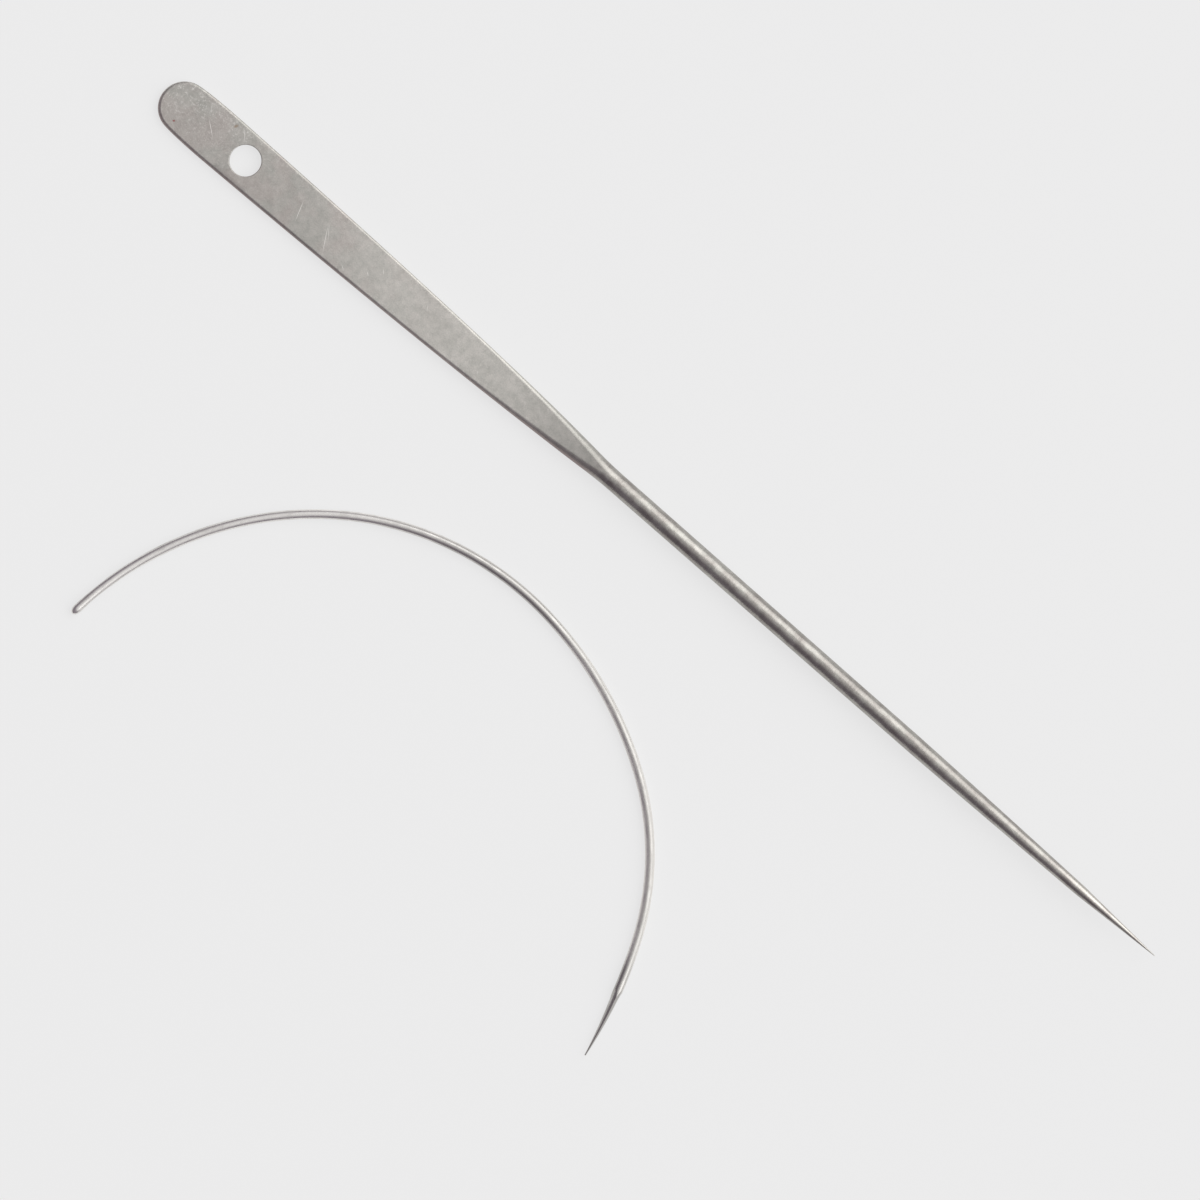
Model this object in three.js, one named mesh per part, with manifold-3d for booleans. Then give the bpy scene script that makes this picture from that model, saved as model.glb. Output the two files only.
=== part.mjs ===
// Two loose upholstery needles lying side by side on a table, in millimetres with +Z up.
// The straight one is round steel wire, forged flat at the head, with a round eye and a long tapered point.
// The curved one is thinner wire bent by hand to half a turn, with a narrow eye and a three-sided ground point.

import * as THREE from "three";
import { mergeVertices } from "three/addons/utils/BufferGeometryUtils.js";
import Module from "manifold-3d";

// Straight needle, with every place along it measured from the end of its head
const straightLength = 200;
const headEndRadius = 4.05;
const headShoulderAngle = THREE.MathUtils.degToRad(8);
const headWidth = 8.57;
const headWidestAt = 10.5;
const headThickness = 1.2;
const headPlateLength = 44;
const forgedRise = 3;
const headLean = THREE.MathUtils.degToRad(0.4);
const headLeanFrom = 76;
const flatLength = 88.6;
const headFlankAngle = THREE.MathUtils.degToRad(0.75);
const headFlankHandle = 34;
const neckFlankAngle = THREE.MathUtils.degToRad(4.45);
const neckFlankHandle = 16;
const neckBlend = 2.5;
const shaftDiameter = 3.15;
const shaftEndDiameter = 2.86;
const taperLength = 35;
const taperLead = 7.5;
const coneLength = 15;
const coneDiameter = 1.8;
const tipDiameter = 0.12;
const eyeDiameter = 4.87;
const eyeFromEnd = 16.3;
const eyeRimRadius = 0.22;

// Curved needle, with every place along it measured on the wire from its blunt end
const curvedLength = 153.57;
const wireDiameter = 1.48;
const eyeBendLength = 38.09;
const eyeBendRadius = 52.83;
const backBendLength = 41.6;
const backBendRadius = 48.72;
const slackBendLength = 28.57;
const slackBendRadius = 59.54;
const tightBendLength = 26.06;
const tightBendRadius = 43.7;
const pointBendRadius = 82;
const bluntEndLength = 1.2;
const pressedThickness = 1.36;
const pressedLength = 13;
const slotFromEnd = 2.4;
const slotLength = 5;
const slotWidth = 0.65;
const gutterLength = 10;
const gutterRadius = 0.32;
const gutterDepth = 0.12;
const gutterBluntness = 0.3;
const groundLength = 9;
const runOutLength = 2.2;
const groundBaseInradius = 0.33;
const groundTipInradius = 0.06;
const runOutRise = 2;

// Where the curved needle lies: its blunt end, from the straight needle's head end and shaft axis
const bluntEndFromHeadEnd = 41.95;
const bluntEndFromShaft = 69.57;
const bluntEndHeading = THREE.MathUtils.degToRad(85.77);

// How finely the round forms are divided
const straightSides = 32;
const curvedSides = 24;
const headEndSteps = 8;
const outlineSteps = 7;
const flankSteps = 18;
const bendStep = 2.8;
const eyeSegments = 48;
const rimSegments = 4;
const bluntEndSteps = 7;
const runOutSteps = 6;
const facetSteps = 8;
const slotEndSegments = 8;
const gutterSides = 12;
const gutterSteps = 12;

// The forged flat and its neck end here, and from here on the straight needle is round
const roundFrom = flatLength + neckBlend;

const wasm = await Module();
wasm.setup();

// A closed skin through a row of loops that all have the same, even number of points.
// The loops run anticlockwise seen from the last one, and each end is closed by a strip across its loop.
function loft(loops) {
  const sides = loops[0].length;
  const positions = loops.flat().flatMap((point) => point.toArray());
  const indices = [];
  const addQuad = (a, b, c, d) => indices.push(a, b, c, a, c, d);
  for (let row = 0; row < loops.length - 1; row++) {
    for (let k = 0; k < sides; k++) {
      const next = (k + 1) % sides;
      const start = row * sides;
      addQuad(start + k, start + next, start + sides + next, start + sides + k);
    }
  }
  const last = (loops.length - 1) * sides;
  for (let k = 0; k < sides / 2 - 1; k++) {
    const across = sides - 1 - k;
    addQuad(k, across, across - 1, k + 1);
    addQuad(last + k, last + k + 1, last + across - 1, last + across);
  }
  const geometry = new THREE.BufferGeometry();
  geometry.setAttribute("position", new THREE.Float32BufferAttribute(positions, 3));
  geometry.setIndex(indices);
  return geometry;
}

// A closed geometry as a solid that can be cut.
function toSolid(geometry) {
  const bare = geometry.clone();
  bare.deleteAttribute("normal");
  bare.deleteAttribute("uv");
  const merged = mergeVertices(bare);
  return new wasm.Manifold(
    new wasm.Mesh({
      numProp: 3,
      vertProperties: merged.attributes.position.array,
      triVerts: new Uint32Array(merged.index.array),
    }),
  );
}

// A cut solid as a geometry with its normals.
function toGeometry(solid) {
  const mesh = solid.getMesh();
  const geometry = new THREE.BufferGeometry();
  geometry.setAttribute("position", new THREE.BufferAttribute(mesh.vertProperties, 3));
  geometry.setIndex(new THREE.BufferAttribute(mesh.triVerts, 1));
  geometry.computeVertexNormals();
  return geometry;
}

// The middle of the straight needle's width: the forged head leans a little to one side of the shaft.
function midline(x) {
  return -Math.tan(headLean) * Math.max(headLeanFrom - x, 0);
}

// Half the thickness that forging left at a place, before the width limits it: it rises late towards the shaft.
function forgedHalfThickness(x) {
  const along = THREE.MathUtils.clamp((x - headPlateLength) / (flatLength - headPlateLength), 0, 1);
  return THREE.MathUtils.lerp(headThickness / 2, shaftDiameter / 2, along ** forgedRise);
}

// One loop of the straight needle: a flat strip with fully rounded edges, which becomes a circle on the shaft.
// The polygon is drawn round the section, so its flat top, flat bottom and sides lie on the section itself.
// place(depth) gives the plan position of a point that lies that far in from the outline, on the left side.
function straightLoop(halfThickness, place) {
  const outside = halfThickness / Math.cos(Math.PI / straightSides);
  const loop = [];
  for (let k = 0; k < straightSides; k++) {
    const angle = ((k + 0.5) / straightSides) * 2 * Math.PI;
    const depth = halfThickness - outside * Math.abs(Math.sin(angle));
    const plan = place(depth);
    const side = Math.sign(Math.sin(angle));
    loop.push(new THREE.Vector3(plan.x, midline(plan.x) + side * plan.y, -outside * Math.cos(angle)));
  }
  return loop;
}

// Loops square to the round end of the head, fanned about its centre.
function headEndLoops() {
  const halfThickness = headThickness / 2;
  const lastAngle = Math.PI / 2 - headShoulderAngle;
  const loops = [];
  for (let step = 1; step <= headEndSteps; step++) {
    const fan = (step / headEndSteps) * lastAngle;
    loops.push(
      straightLoop(halfThickness, (depth) => {
        const reach = headEndRadius - depth;
        return new THREE.Vector2(headEndRadius - reach * Math.cos(fan), reach * Math.sin(fan));
      }),
    );
  }
  return loops;
}

// Half the straight needle's outline in plan, from the shoulder of the head to the tip.
function straightOutline() {
  const shoulderX = headEndRadius * (1 - Math.sin(headShoulderAngle));
  const shoulderY = headEndRadius * Math.cos(headShoulderAngle);
  const halfHead = headWidth / 2;
  const halfShaft = shaftDiameter / 2;
  const halfShaftEnd = shaftEndDiameter / 2;
  const crestX = shoulderX + (halfHead - shoulderY) / Math.tan(headShoulderAngle);
  const neckX = flatLength - neckBlend;
  const neckY = halfShaft + neckBlend * Math.tan(neckFlankAngle);
  const coneX = straightLength - coneLength;
  const taperX = coneX - taperLength;
  const shaftSlope = (halfShaftEnd - halfShaft) / (taperX - roundFrom);
  const outline = new THREE.Path();
  outline.moveTo(shoulderX, shoulderY);
  outline.quadraticCurveTo(crestX, halfHead, headWidestAt, halfHead);
  outline.bezierCurveTo(
    headWidestAt + headFlankHandle,
    halfHead - headFlankHandle * Math.tan(headFlankAngle),
    neckX - neckFlankHandle,
    neckY + neckFlankHandle * Math.tan(neckFlankAngle),
    neckX,
    neckY,
  );
  outline.quadraticCurveTo(flatLength, halfShaft, roundFrom, halfShaft);
  outline.lineTo(taperX, halfShaftEnd);
  outline.quadraticCurveTo(taperX + taperLead, halfShaftEnd + taperLead * shaftSlope, coneX, coneDiameter / 2);
  outline.lineTo(straightLength, tipDiameter / 2);
  return outline;
}

// The outline's points from the shoulder onwards, with more of them on the long flank.
function straightStations() {
  const [shoulder, flank, ...rest] = straightOutline().curves;
  const stations = [
    ...shoulder.getPoints(outlineSteps),
    ...flank.getPoints(flankSteps),
    ...rest.flatMap((curve) => curve.getPoints(curve.isLineCurve ? 1 : outlineSteps)),
  ];
  return stations.filter((point, i) => i > 0 && point.x > stations[i - 1].x);
}

// The round eye as a cutter, wider at both faces so that its rims come out rounded.
function eyeCutter() {
  const bore = eyeDiameter / 2;
  const face = headThickness / 2;
  const clear = headThickness;
  const upperRim = new THREE.EllipseCurve(
    bore + eyeRimRadius,
    face - eyeRimRadius,
    eyeRimRadius,
    eyeRimRadius,
    Math.PI,
    Math.PI / 2,
    true,
  ).getPoints(rimSegments);
  const lowerRim = upperRim.map((point) => new THREE.Vector2(point.x, -point.y)).reverse();
  const profile = [
    new THREE.Vector2(0, -clear),
    new THREE.Vector2(bore + eyeRimRadius, -clear),
    ...lowerRim,
    ...upperRim,
    new THREE.Vector2(bore + eyeRimRadius, clear),
    new THREE.Vector2(0, clear),
  ];
  const cutter = new THREE.LatheGeometry(profile, eyeSegments);
  cutter.rotateX(Math.PI / 2);
  cutter.translate(eyeFromEnd, midline(eyeFromEnd), 0);
  return toSolid(cutter);
}

// Loops square to the straight needle at some of its stations.
function loopsAt(stations) {
  return stations.map((station) => {
    const halfThickness = Math.min(station.y, forgedHalfThickness(station.x));
    return straightLoop(halfThickness, (depth) => new THREE.Vector2(station.x, station.y - depth));
  });
}

// The forged head with its eye, up to the first round section.
function headGeometry() {
  const stations = straightStations().filter((station) => station.x <= roundFrom);
  const blank = toSolid(loft([...headEndLoops(), ...loopsAt(stations)]));
  return toGeometry(blank.subtract(eyeCutter()));
}

// The round shaft and its point, which start on the head's own last loop.
function shaftGeometry() {
  const stations = straightStations().filter((station) => station.x >= roundFrom);
  return toGeometry(toSolid(loft(loopsAt(stations))));
}

// The direction out of the bend at a place where the wire heads this way.
function outwardOf(heading) {
  return new THREE.Vector2(-Math.sin(heading), Math.cos(heading));
}

// The curved needle's middle line as arcs that run on from one another, starting at its blunt end.
function bendArcs() {
  const lengths = [eyeBendLength, backBendLength, slackBendLength, tightBendLength];
  const radii = [eyeBendRadius, backBendRadius, slackBendRadius, tightBendRadius, pointBendRadius];
  let from = 0;
  let heading = bluntEndHeading;
  let middle = new THREE.Vector2(0, 0);
  return radii.map((radius, i) => {
    const centre = middle.clone().addScaledVector(outwardOf(heading), -radius);
    const arc = { from, heading, centre, radius };
    from += lengths[i] ?? 0;
    heading -= (lengths[i] ?? 0) / radius;
    middle = centre.clone().addScaledVector(outwardOf(heading), radius);
    return arc;
  });
}

const bend = bendArcs();

// A place on the curved needle's middle line, from its blunt end, which is the origin.
function onBend(along) {
  const arc = bend.findLast((candidate) => candidate.from <= along) ?? bend[0];
  const heading = arc.heading - (along - arc.from) / arc.radius;
  const outward = outwardOf(heading);
  const middle = arc.centre.clone().addScaledVector(outward, arc.radius);
  return { middle, outward, heading };
}

// One loop square to the bend, from the distance of each of its points to the middle line.
// The first point is on top and the next ones go down the inner side of the bend.
// limit keeps the points within that distance of the line in plan, and offset moves them all outwards.
function bendLoop(along, sides, reachAt, limit = Infinity, offset = 0) {
  const { middle, outward } = onBend(along);
  const loop = [];
  for (let k = 0; k < sides; k++) {
    const angle = (k / sides) * 2 * Math.PI;
    const reach = reachAt(angle);
    const side = THREE.MathUtils.clamp(-reach * Math.sin(angle), -limit, limit) + offset;
    loop.push(
      new THREE.Vector3(
        middle.x + side * outward.x,
        middle.y + side * outward.y,
        reach * Math.cos(angle),
      ),
    );
  }
  return loop;
}

// How far from the middle line a three-sided section reaches, with one edge up and a flat below.
function threeSidedReach(inradius, angle) {
  const third = (2 * Math.PI) / 3;
  const fromEdge = ((angle % third) + third) % third;
  return inradius / Math.cos(fromEdge - third / 2);
}

// The ground facets lie this far from the middle line: they close slowly to the tip and run out at the shoulder.
function groundInradius(fromTip) {
  if (fromTip < groundLength) {
    return THREE.MathUtils.lerp(groundTipInradius, groundBaseInradius, fromTip / groundLength);
  }
  const runOut = (fromTip - groundLength) / runOutLength;
  return THREE.MathUtils.lerp(groundBaseInradius, wireDiameter / 2, runOut ** runOutRise);
}

// Loops of the rounded blunt end, which the wire's radius grows out of like a quarter circle.
function bluntEndLoops() {
  const loops = [];
  for (let step = 0; step < bluntEndSteps; step++) {
    const rise = ((step + 0.5) / bluntEndSteps) * (Math.PI / 2);
    const along = bluntEndLength * (1 - Math.cos(rise));
    const reach = (wireDiameter / 2) * Math.sin(rise);
    loops.push(bendLoop(along, curvedSides, () => reach, (pressedThickness / 2) * Math.sin(rise)));
  }
  return loops;
}

// Loops of the wire, pressed flatter round the eye, up to where the grinding starts.
function wireLoops() {
  const end = curvedLength - groundLength - runOutLength;
  const steps = Math.round((end - bluntEndLength) / bendStep);
  const loops = [];
  for (let step = 0; step <= steps; step++) {
    const along = THREE.MathUtils.lerp(bluntEndLength, end, step / steps);
    const pressed = THREE.MathUtils.clamp((along - bluntEndLength) / pressedLength, 0, 1);
    const limit = THREE.MathUtils.lerp(pressedThickness / 2, wireDiameter / 2, pressed);
    loops.push(bendLoop(along, curvedSides, () => wireDiameter / 2, limit));
  }
  return loops;
}

// Loops of the three-sided point, closer together where its facets run out.
function groundLoops() {
  const places = [];
  for (let step = 1; step <= runOutSteps; step++) {
    places.push(groundLength + runOutLength * (1 - step / runOutSteps));
  }
  for (let step = 1; step <= facetSteps; step++) {
    places.push(groundLength * (1 - step / facetSteps));
  }
  return places.map((fromTip) => {
    const inradius = groundInradius(fromTip);
    const reachAt = (angle) => Math.min(wireDiameter / 2, threeSidedReach(inradius, angle));
    return bendLoop(curvedLength - fromTip, curvedSides, reachAt);
  });
}

// The narrow eye as a cutter: a slot with round ends that runs through the wire along the radius of the bend.
function slotCutter() {
  const round = slotWidth / 2;
  const halfStraight = slotLength / 2 - round;
  const outline = new THREE.Shape();
  outline.absarc(halfStraight, 0, round, -Math.PI / 2, Math.PI / 2, false);
  outline.absarc(-halfStraight, 0, round, Math.PI / 2, (3 * Math.PI) / 2, false);
  const depth = 2 * wireDiameter;
  const slot = new THREE.ExtrudeGeometry(outline, { depth, curveSegments: slotEndSegments, bevelEnabled: false });
  slot.translate(0, 0, -depth / 2);
  slot.rotateX(Math.PI / 2);
  const { middle, heading } = onBend(slotFromEnd + slotLength / 2);
  slot.rotateZ(heading);
  slot.translate(middle.x, middle.y, 0);
  return toSolid(slot);
}

// A shallow gutter that leads the thread out of the slot, on the outer side of the bend or on the inner one.
function gutterCutter(side) {
  const start = slotFromEnd + slotLength / 2;
  const reach = pressedThickness / 2 - gutterDepth + gutterRadius;
  const loops = [];
  for (let step = 0; step <= gutterSteps; step++) {
    const share = (step + 0.5) / (gutterSteps + 1);
    const radius = gutterRadius * Math.sin(share * Math.PI) ** gutterBluntness;
    loops.push(bendLoop(start + share * gutterLength, gutterSides, () => radius, Infinity, side * reach));
  }
  return toSolid(loft(loops));
}

function curvedNeedleGeometry() {
  const blank = toSolid(loft([...bluntEndLoops(), ...wireLoops(), ...groundLoops()]));
  const cut = blank.subtract(slotCutter()).subtract(gutterCutter(1)).subtract(gutterCutter(-1));
  return toGeometry(cut);
}

function straightNeedleHead() {
  const flatSteel = new THREE.MeshStandardMaterial({ color: 0xa9a49d, roughness: 0.42, metalness: 1 });
  const head = new THREE.Mesh(headGeometry(), flatSteel);
  head.name = "straight_needle_head";
  return head;
}

function straightNeedleShaft() {
  const roundSteel = new THREE.MeshStandardMaterial({ color: 0xa39e97, roughness: 0.36, metalness: 1 });
  const shaft = new THREE.Mesh(shaftGeometry(), roundSteel);
  shaft.name = "straight_needle_shaft";
  return shaft;
}

// One piece of steel, kept as two solids that meet face to face where it turns round.
// It rests on the end of its head and on the thick start of its shaft, so its point is raised.
function straightNeedle() {
  const needle = new THREE.Group();
  needle.add(straightNeedleHead(), straightNeedleShaft());
  const headEdge = headThickness / 2;
  const lie = Math.atan2(shaftDiameter / 2 - headEdge, flatLength - headEdge);
  needle.rotation.y = -lie;
  needle.position.z = headEdge * Math.cos(lie) - headEdge * Math.sin(lie);
  return needle;
}

function curvedNeedle() {
  const brightSteel = new THREE.MeshStandardMaterial({ color: 0xb9b6b0, roughness: 0.3, metalness: 1 });
  const needle = new THREE.Mesh(curvedNeedleGeometry(), brightSteel);
  needle.name = "curved_needle";
  needle.position.set(bluntEndFromHeadEnd, -bluntEndFromShaft, wireDiameter / 2);
  return needle;
}

// The origin is on the table, in the middle of the box round both needles.
function needleSet() {
  const set = new THREE.Group();
  set.add(straightNeedle(), curvedNeedle());
  const middle = new THREE.Box3().setFromObject(set).getCenter(new THREE.Vector3());
  set.position.set(-middle.x, -middle.y, 0);
  return set;
}

export default needleSet();
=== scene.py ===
# Two loose upholstery needles on a pale table: a straight one with a forged head and a thin curved one.
# Places on a needle are in millimetres, in the needle's own frame; everything else is in metres, +Z up.

import math

import bmesh
import bpy
from mathutils import Matrix, Vector


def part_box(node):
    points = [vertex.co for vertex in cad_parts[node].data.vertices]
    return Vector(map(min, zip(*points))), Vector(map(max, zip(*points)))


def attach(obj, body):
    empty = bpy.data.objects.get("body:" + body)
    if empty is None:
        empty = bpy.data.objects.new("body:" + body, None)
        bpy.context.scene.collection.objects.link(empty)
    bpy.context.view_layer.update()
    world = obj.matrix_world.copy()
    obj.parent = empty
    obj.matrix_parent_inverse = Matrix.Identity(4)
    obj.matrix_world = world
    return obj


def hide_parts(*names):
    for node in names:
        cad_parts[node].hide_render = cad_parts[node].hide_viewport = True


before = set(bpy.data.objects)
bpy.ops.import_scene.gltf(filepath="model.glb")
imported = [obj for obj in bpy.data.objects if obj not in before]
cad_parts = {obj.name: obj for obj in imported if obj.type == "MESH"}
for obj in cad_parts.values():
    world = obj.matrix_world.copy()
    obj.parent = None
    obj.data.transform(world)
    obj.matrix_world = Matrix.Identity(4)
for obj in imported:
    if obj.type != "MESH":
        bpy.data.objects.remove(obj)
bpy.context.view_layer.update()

MM = 0.001

# Straight needle, with every place along it measured from the end of its head
STRAIGHT_LENGTH = 200
HEAD_END_RADIUS = 4.05
HEAD_SHOULDER_ANGLE = math.radians(8)
HEAD_WIDTH = 8.57
HEAD_WIDEST_AT = 10.5
HEAD_THICKNESS = 1.2
HEAD_PLATE_LENGTH = 44
FORGED_RISE = 3
HEAD_LEAN = math.radians(0.4)
HEAD_LEAN_FROM = 76
FLAT_LENGTH = 88.6
HEAD_FLANK_ANGLE = math.radians(0.75)
HEAD_FLANK_HANDLE = 34
NECK_FLANK_ANGLE = math.radians(4.45)
NECK_FLANK_HANDLE = 16
NECK_BLEND = 2.5
SHAFT_DIAMETER = 3.15
SHAFT_END_DIAMETER = 2.86
TAPER_LENGTH = 35
TAPER_LEAD = 7.5
CONE_LENGTH = 15
CONE_DIAMETER = 1.8
TIP_DIAMETER = 0.12
EYE_DIAMETER = 4.87
EYE_FROM_END = 16.3
EYE_RIM_RADIUS = 0.12

# How square the forged edges are, left and right seen from the head, and the faint crease along the flat
HALF_CIRCLE_POWER = 2
LEFT_EDGE_POWER = 3.6
RIGHT_EDGE_POWER = 2.1
END_EDGE_POWER = 2.6
SQUARE_LENGTH = 62
EDGE_CREASE = 0.01
CREASE_FADE = 1.5

# Curved needle, with every place along it measured on the wire from its blunt end
CURVED_LENGTH = 153.57
WIRE_DIAMETER = 1.48
EYE_BEND_LENGTH = 38.09
EYE_BEND_RADIUS = 52.83
BACK_BEND_LENGTH = 41.6
BACK_BEND_RADIUS = 48.72
SLACK_BEND_LENGTH = 28.57
SLACK_BEND_RADIUS = 59.54
TIGHT_BEND_LENGTH = 26.06
TIGHT_BEND_RADIUS = 43.7
POINT_BEND_RADIUS = 82
BLUNT_END_LENGTH = 1.2
PRESSED_THICKNESS = 1.36
PRESSED_LENGTH = 13
SLOT_FROM_END = 2.4
SLOT_LENGTH = 5
SLOT_WIDTH = 0.65
SLOT_RIM_RADIUS = 0.06
GUTTER_LENGTH = 10
GUTTER_RADIUS = 0.32
GUTTER_DEPTH = 0.12
GUTTER_BLUNTNESS = 0.3
GROUND_LENGTH = 9
RUN_OUT_LENGTH = 2.2
GROUND_BASE_INRADIUS = 0.455
GROUND_TIP_INRADIUS = 0.083
GROUND_CROWN = 3
GROUND_LEAN = math.radians(12)
RUN_OUT_RISE = 2
BLUNT_END_FROM_HEAD_END = 41.95
BLUNT_END_FROM_SHAFT = 69.57
BLUNT_END_HEADING = math.radians(85.77)

# How finely the two needles are divided
FLAT_COLUMNS = 20
SIDE_COLUMNS = 24
FAN_ROWS = 22
EYE_ROWS = 20
EYE_MARGIN = 0.65
STRAIGHT_STEP = 0.6
TIP_ROWS = 5
WIRE_COLUMNS = 48
SLOT_COLUMNS = 6
SLOT_ROWS = 24
SLOT_MARGIN = 0.2
WIRE_STEP = 0.6
GROUND_STEP = 0.15
BLUNT_ROWS = 9
RIM_ROWS = 5
RING_SHARES = (0.45, 0.8, 0.96)
BISECTIONS = 40
MERGE_DISTANCE = 1e-5
SHARP_ANGLE = math.radians(34)

# How steeply the straight needle lies, and where along it the round shaft, the cone and the taper begin
LIE = math.atan2((SHAFT_DIAMETER - HEAD_THICKNESS) / 2, FLAT_LENGTH - HEAD_THICKNESS / 2)
ROUND_FROM = FLAT_LENGTH + NECK_BLEND
CONE_FROM = STRAIGHT_LENGTH - CONE_LENGTH
TAPER_FROM = CONE_FROM - TAPER_LENGTH


def mix(a, b, share):
    return a + (b - a) * share


def clamp(value, low=0.0, high=1.0):
    return max(low, min(high, value))


def steps(start, end, step):
    """Places from start up to, but without, end, evenly spaced about a step apart."""
    count = max(1, round((end - start) / step))
    return [mix(start, end, i / count) for i in range(count)]


def curve_point(handles, share):
    """A point on the line or Bezier curve that these handles make."""
    points = list(handles)
    while len(points) > 1:
        points = [a.lerp(b, share) for a, b in zip(points, points[1:])]
    return points[0]


def straight_outline():
    """Half the straight needle's outline in plan, from the shoulder of the head to the tip."""
    half_head = HEAD_WIDTH / 2
    half_shaft = SHAFT_DIAMETER / 2
    half_shaft_end = SHAFT_END_DIAMETER / 2
    shoulder = Vector((
        HEAD_END_RADIUS * (1 - math.sin(HEAD_SHOULDER_ANGLE)),
        HEAD_END_RADIUS * math.cos(HEAD_SHOULDER_ANGLE),
    ))
    crest_x = shoulder.x + (half_head - shoulder.y) / math.tan(HEAD_SHOULDER_ANGLE)
    widest = Vector((HEAD_WIDEST_AT, half_head))
    neck = Vector((FLAT_LENGTH - NECK_BLEND, half_shaft + NECK_BLEND * math.tan(NECK_FLANK_ANGLE)))
    head_handle = Vector((HEAD_FLANK_HANDLE, -HEAD_FLANK_HANDLE * math.tan(HEAD_FLANK_ANGLE)))
    neck_handle = Vector((-NECK_FLANK_HANDLE, NECK_FLANK_HANDLE * math.tan(NECK_FLANK_ANGLE)))
    shaft_start = Vector((ROUND_FROM, half_shaft))
    shaft_end = Vector((TAPER_FROM, half_shaft_end))
    shaft_slope = (half_shaft_end - half_shaft) / (TAPER_FROM - ROUND_FROM)
    taper_handle = Vector((TAPER_LEAD, TAPER_LEAD * shaft_slope))
    cone = Vector((CONE_FROM, CONE_DIAMETER / 2))
    return [
        [shoulder, Vector((crest_x, half_head)), widest],
        [widest, widest + head_handle, neck + neck_handle, neck],
        [neck, Vector((FLAT_LENGTH, half_shaft)), shaft_start],
        [shaft_start, shaft_end],
        [shaft_end, shaft_end + taper_handle, cone],
        [cone, Vector((STRAIGHT_LENGTH, TIP_DIAMETER / 2))],
    ]


OUTLINE = straight_outline()


def half_width(x):
    """Half the straight needle's width at a place along it."""
    curve = next((c for c in OUTLINE if c[-1].x >= x), OUTLINE[-1])
    low, high = 0.0, 1.0
    for _ in range(BISECTIONS):
        middle = (low + high) / 2
        if curve_point(curve, middle).x < x:
            low = middle
        else:
            high = middle
    return curve_point(curve, high).y


def midline(x):
    """The middle of the width: the forged head leans a little to one side of the shaft."""
    return -math.tan(HEAD_LEAN) * max(HEAD_LEAN_FROM - x, 0)


def half_thickness(x):
    """Half the thickness that forging left, which rises late towards the shaft."""
    along = clamp((x - HEAD_PLATE_LENGTH) / (FLAT_LENGTH - HEAD_PLATE_LENGTH))
    return mix(HEAD_THICKNESS / 2, SHAFT_DIAMETER / 2, along ** FORGED_RISE)


def crease(x):
    """How far the sides' radius exceeds half the thickness, as a share that fades at the flat's end."""
    return EDGE_CREASE * clamp((FLAT_LENGTH - x) / CREASE_FADE)


def edge_powers(x):
    """How square the left and the right side are here: the squareness fades towards the flat's end."""
    faded = clamp((x - SQUARE_LENGTH) / (FLAT_LENGTH - SQUARE_LENGTH))
    return tuple(mix(power, HALF_CIRCLE_POWER, faded) for power in (LEFT_EDGE_POWER, RIGHT_EDGE_POWER))


def rounded_side(half, round_radius, power, place):
    """The left side from its top crease down to its lower one.

    place(depth) is the plan position of a point that lies that far in from the outline.
    """
    first = math.acos(clamp(half / round_radius) ** (power / 2))
    points = []
    for k in range(SIDE_COLUMNS + 1):
        angle = mix(first, math.pi - first, k / SIDE_COLUMNS)
        x, y = place(round_radius * (1 - math.sin(angle) ** (2 / power)))
        rise = abs(math.cos(angle)) ** (2 / power)
        points.append(Vector((x, y, math.copysign(round_radius * rise, math.cos(angle)))))
    return points


def straight_loop(half, round_radius, powers, place):
    """One loop round the straight needle: a flat on top, the left side, a flat below and the right side.

    Its points lie closer together towards the edges of the flats.
    """
    left, right = (rounded_side(half, round_radius, power, place) for power in powers)
    for point in right:
        point.y = -point.y
    shares = [(1 + math.sin(math.pi * (k / FLAT_COLUMNS - 0.5))) / 2 for k in range(1, FLAT_COLUMNS)]
    top = [right[0].lerp(left[0], share) for share in shares]
    below = [left[-1].lerp(right[-1], share) for share in shares]
    loop = top + left + below + right[::-1]
    return [Vector((point.x, midline(point.x) + point.y, point.z)) for point in loop]


def head_end_loops():
    """Loops square to the round end of the head, fanned about its centre."""
    last = math.pi / 2 - HEAD_SHOULDER_ANGLE
    half = HEAD_THICKNESS / 2
    loops = []
    for row in range(FAN_ROWS):
        fan = last * row / FAN_ROWS
        share = row / FAN_ROWS
        powers = [mix(END_EDGE_POWER, power, share) for power in (LEFT_EDGE_POWER, RIGHT_EDGE_POWER)]

        def place(depth):
            reach = HEAD_END_RADIUS - depth
            return HEAD_END_RADIUS - reach * math.cos(fan), reach * math.sin(fan)

        loops.append(straight_loop(half, half * (1 + EDGE_CREASE), powers, place))
    return loops


def loop_at(x):
    """The loop square to the straight needle at a place along it."""
    width = half_width(x)
    half = min(width, half_thickness(x))
    round_radius = min(width, half * (1 + crease(x)))
    return straight_loop(half, round_radius, edge_powers(x), lambda depth: (x, width - depth))


def tip_loops():
    """The last loops of the point, which close it like a ball."""
    radius = TIP_DIAMETER / 2
    end = loop_at(STRAIGHT_LENGTH)
    loops = []
    for row in range(TIP_ROWS + 1):
        turn = (math.pi / 2) * row / TIP_ROWS
        x = STRAIGHT_LENGTH - radius * (1 - math.sin(turn))
        width = radius * math.cos(turn)
        loops.append([Vector((x, p.y / radius * width, p.z / radius * width)) for p in end])
    return loops


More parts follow.
